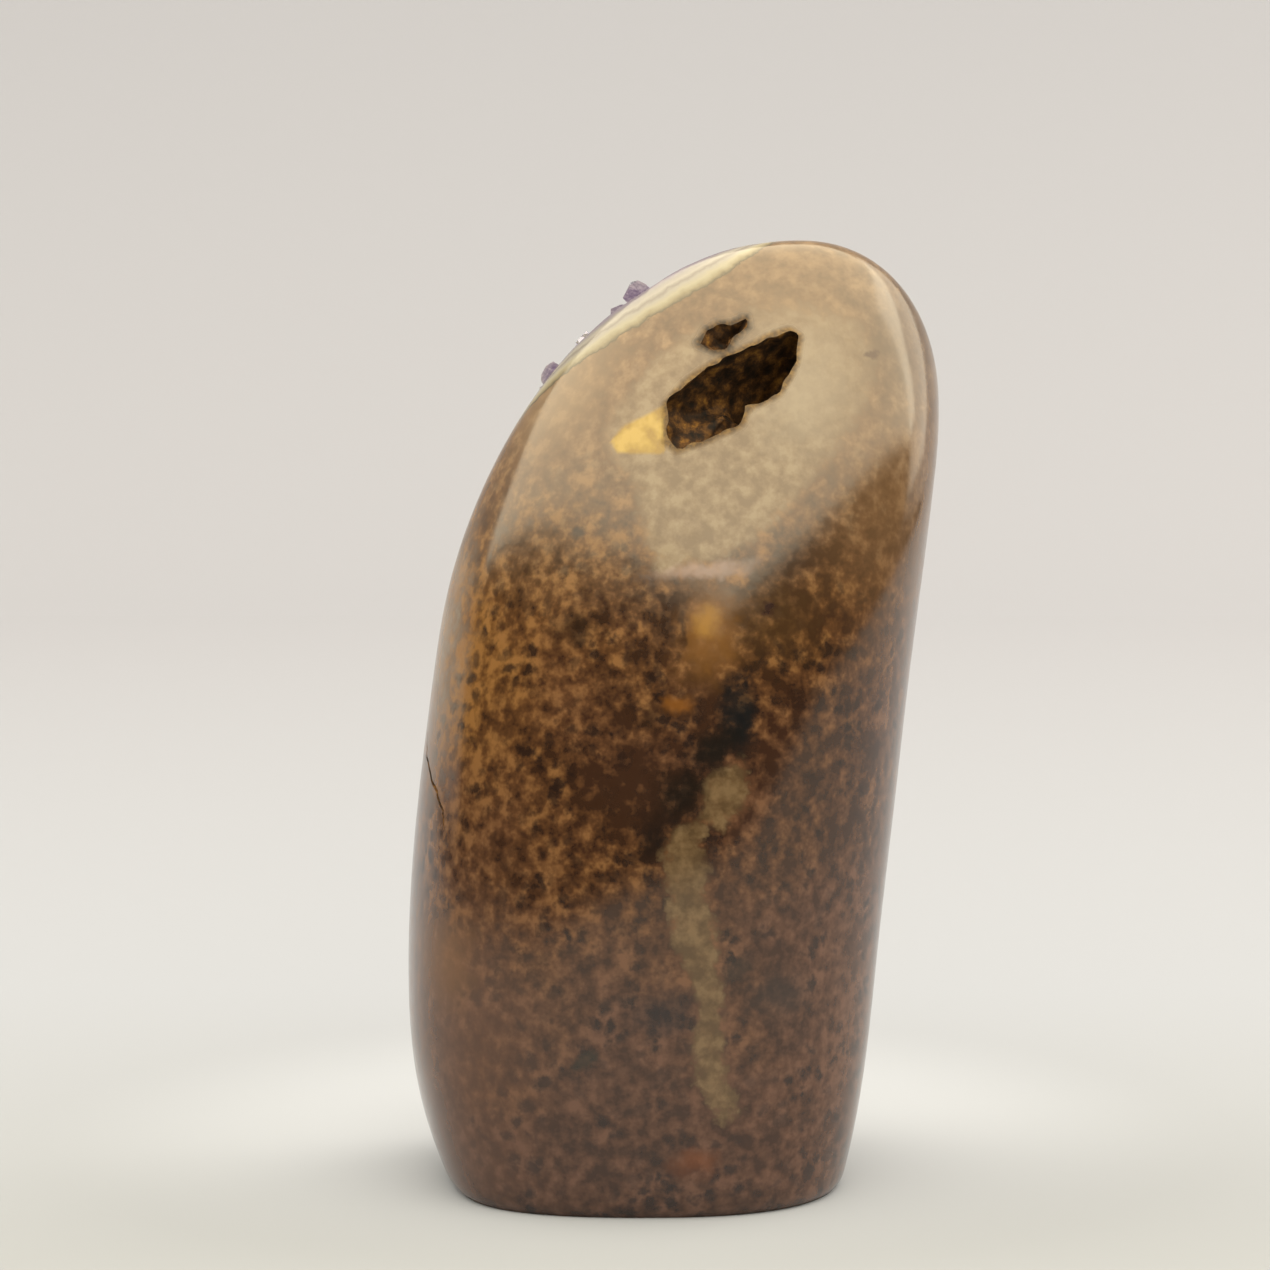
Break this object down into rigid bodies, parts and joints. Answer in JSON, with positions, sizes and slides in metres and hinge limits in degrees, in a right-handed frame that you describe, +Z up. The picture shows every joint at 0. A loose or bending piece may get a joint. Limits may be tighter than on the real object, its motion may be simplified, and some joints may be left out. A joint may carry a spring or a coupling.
{
  "type": "polished amethyst geode piece",
  "caption": "Free-standing polished piece of amethyst geode with a rounded rock wall, open vugs, a crystal-lined hollow in its leaning ground face, and a sawn flat base.",
  "frame": {"origin": "middle of the bounding box, on the sawn base", "axes": "+Z up; -Y out of the rounded rock wall with its vugs, the side that the picture shows; +Y towards the ground face with the crystals; +X to the right as seen in the picture"},
  "size_m": [0.0518, 0.0434, 0.0921],
  "materials": {
    "polished_basalt_and_agate": "polished",
    "amethyst": "polished"
  },
  "bodies": {
    "root": {"stone": "polished_basalt_and_agate", "amethyst_crystals": "amethyst"}
  },
  "joints": []
}
